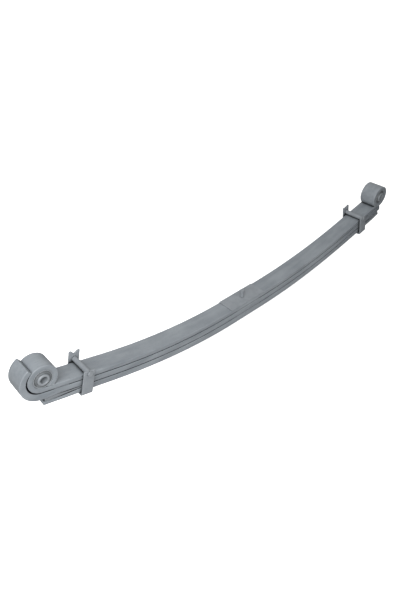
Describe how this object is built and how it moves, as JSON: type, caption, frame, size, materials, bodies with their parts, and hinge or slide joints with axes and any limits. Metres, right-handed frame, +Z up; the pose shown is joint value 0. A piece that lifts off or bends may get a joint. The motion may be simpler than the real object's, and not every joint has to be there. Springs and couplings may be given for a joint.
{
  "type": "leaf spring",
  "caption": "Curved steel leaf spring with rolled eyes, rubber-bonded bushes, a wrapped second leaf and rebound clips, which carries an axle and flexes under load.",
  "frame": {"origin": "centre of the flat top of the centre bolt's locating head", "axes": "+X along the spring towards the rear eye, +Y across its width, +Z up towards the eyes"},
  "size_m": [1.9882, 0.1226, 0.3458],
  "materials": {
    "grey_paint": "satin grey paint on spring steel",
    "bush_rubber": "matt rubber under grey overspray",
    "liner_grey": "matt grey liner"
  },
  "bodies": {
    "leaf_pack": {"main_leaf": "grey_paint", "second_leaf": "grey_paint", "third_leaf": "grey_paint", "centre_plate": "grey_paint", "centre_bolt": "grey_paint", "centre_nut": "grey_paint", "upper_seat_liner": "liner_grey", "lower_seat_liner": "liner_grey"},
    "front_half": {"front_clip_strap": "grey_paint", "front_clip_rivet": "grey_paint", "front_clip_bolt": "grey_paint", "front_clip_spacer_tube": "grey_paint", "front_clip_nut": "grey_paint", "front_upper_tip_liner": "liner_grey", "front_upper_liner_pin": "grey_paint", "front_lower_tip_liner": "liner_grey", "front_lower_liner_pin": "grey_paint", "front_bush_outer_sleeve": "grey_paint", "front_bush_rubber": "bush_rubber"},
    "rear_half": {"rear_clip_strap": "grey_paint", "rear_clip_rivet": "grey_paint", "rear_clip_bolt": "grey_paint", "rear_clip_spacer_tube": "grey_paint", "rear_clip_nut": "grey_paint", "rear_upper_tip_liner": "liner_grey", "rear_upper_liner_pin": "grey_paint", "rear_lower_tip_liner": "liner_grey", "rear_lower_liner_pin": "grey_paint", "rear_bush_outer_sleeve": "grey_paint", "rear_bush_rubber": "bush_rubber"},
    "front_bush_core": {"front_bush_inner_sleeve": "grey_paint"},
    "rear_bush_core": {"rear_bush_inner_sleeve": "grey_paint"}
  },
  "joints": [
    {"name": "front_flex", "type": "hinge", "parent": "leaf_pack", "child": "front_half", "pos_m": [-0.4359, 0, -0.0202], "axis": [0, -1, 0], "range_deg": [-3, 10], "stiffness_Nm_per_rad": 12000, "deforming": ["main_leaf", "second_leaf", "third_leaf"]},
    {"name": "rear_flex", "type": "hinge", "parent": "leaf_pack", "child": "rear_half", "pos_m": [0.4345, 0, -0.0277], "axis": [0, 1, 0], "range_deg": [-3, 10], "stiffness_Nm_per_rad": 12000, "deforming": ["main_leaf", "second_leaf", "third_leaf"]},
    {"name": "front_bush_twist", "type": "hinge", "parent": "front_half", "child": "front_bush_core", "pos_m": [-0.92628, 0, 0.17992], "axis": [0, 1, 0], "range_deg": [-20, 20], "stiffness_Nm_per_rad": 30, "deforming": ["front_bush_rubber"]},
    {"name": "rear_bush_twist", "type": "hinge", "parent": "rear_half", "child": "rear_bush_core", "pos_m": [0.92955, 0, 0.14096], "axis": [0, 1, 0], "range_deg": [-20, 20], "stiffness_Nm_per_rad": 30, "deforming": ["rear_bush_rubber"]}
  ]
}
